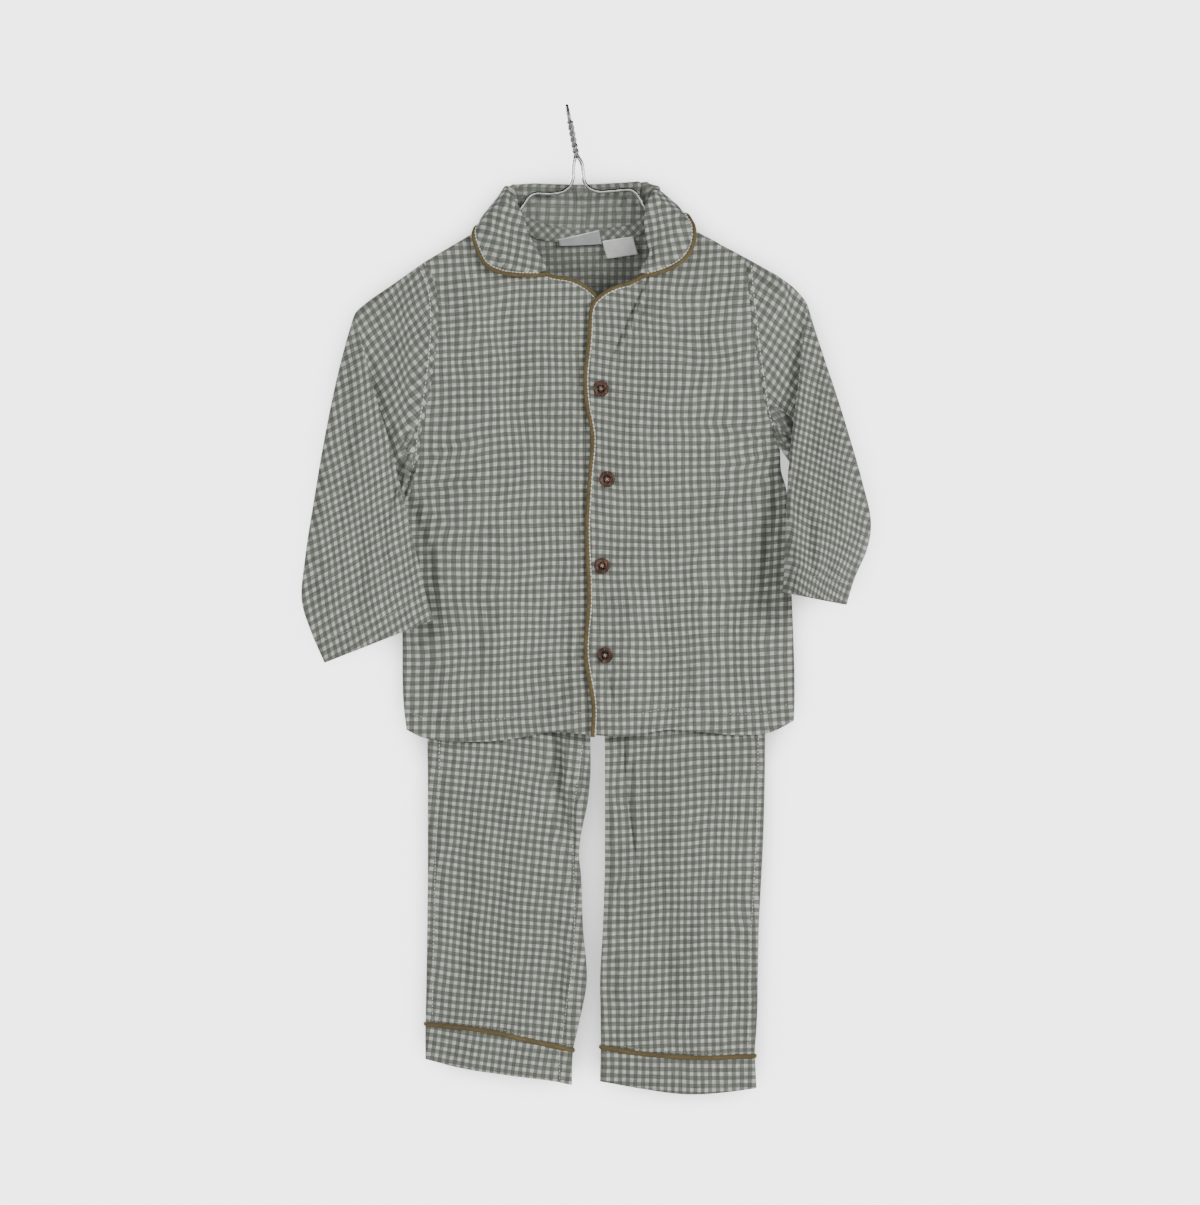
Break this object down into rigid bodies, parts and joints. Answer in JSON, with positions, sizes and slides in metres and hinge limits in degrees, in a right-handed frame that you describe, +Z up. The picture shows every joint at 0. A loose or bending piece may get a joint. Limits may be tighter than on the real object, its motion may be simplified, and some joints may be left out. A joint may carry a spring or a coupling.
{
  "type": "child's pyjama set on a wire clip hanger",
  "caption": "Child's gingham pyjama set, long-sleeved buttoned jacket with piped round collar over long trousers with piped cuffs, hung on a plain wire hanger",
  "frame": {"origin": "the top of the inside of the hanger's hook, where a rail carries it", "axes": "+Z up along the hanging set, +X to the viewer's right across the shoulders, +Y from the front to the back"},
  "size_m": [0.5105, 0.071, 0.8895],
  "materials": {
    "gingham": "brushed woven cotton in a small grey-green and off-white gingham",
    "piping": "matt ochre bias piping",
    "button": "polished brown coconut shell",
    "label": "blank woven tape",
    "steel": "bright galvanised wire"
  },
  "bodies": {
    "root": {"front_left": "gingham", "front_right": "gingham", "back": "gingham", "sleeve_left": "gingham", "sleeve_right": "gingham", "collar": "gingham", "leg_left_front": "gingham", "leg_left_back": "gingham", "leg_right_front": "gingham", "leg_right_back": "gingham", "waistband": "gingham", "cuff_left": "gingham", "cuff_right": "gingham", "collar_piping": "piping", "piping_left": "piping", "piping_right": "piping", "cuff_piping_left": "piping", "cuff_piping_right": "piping", "button_1": "button", "button_2": "button", "button_3": "button", "button_4": "button", "label_1": "label", "label_2": "label", "hanger_hook": "steel", "hanger_stem": "steel", "hanger_wire": "steel", "clip_left": "steel", "clip_right": "steel"}
  },
  "joints": []
}
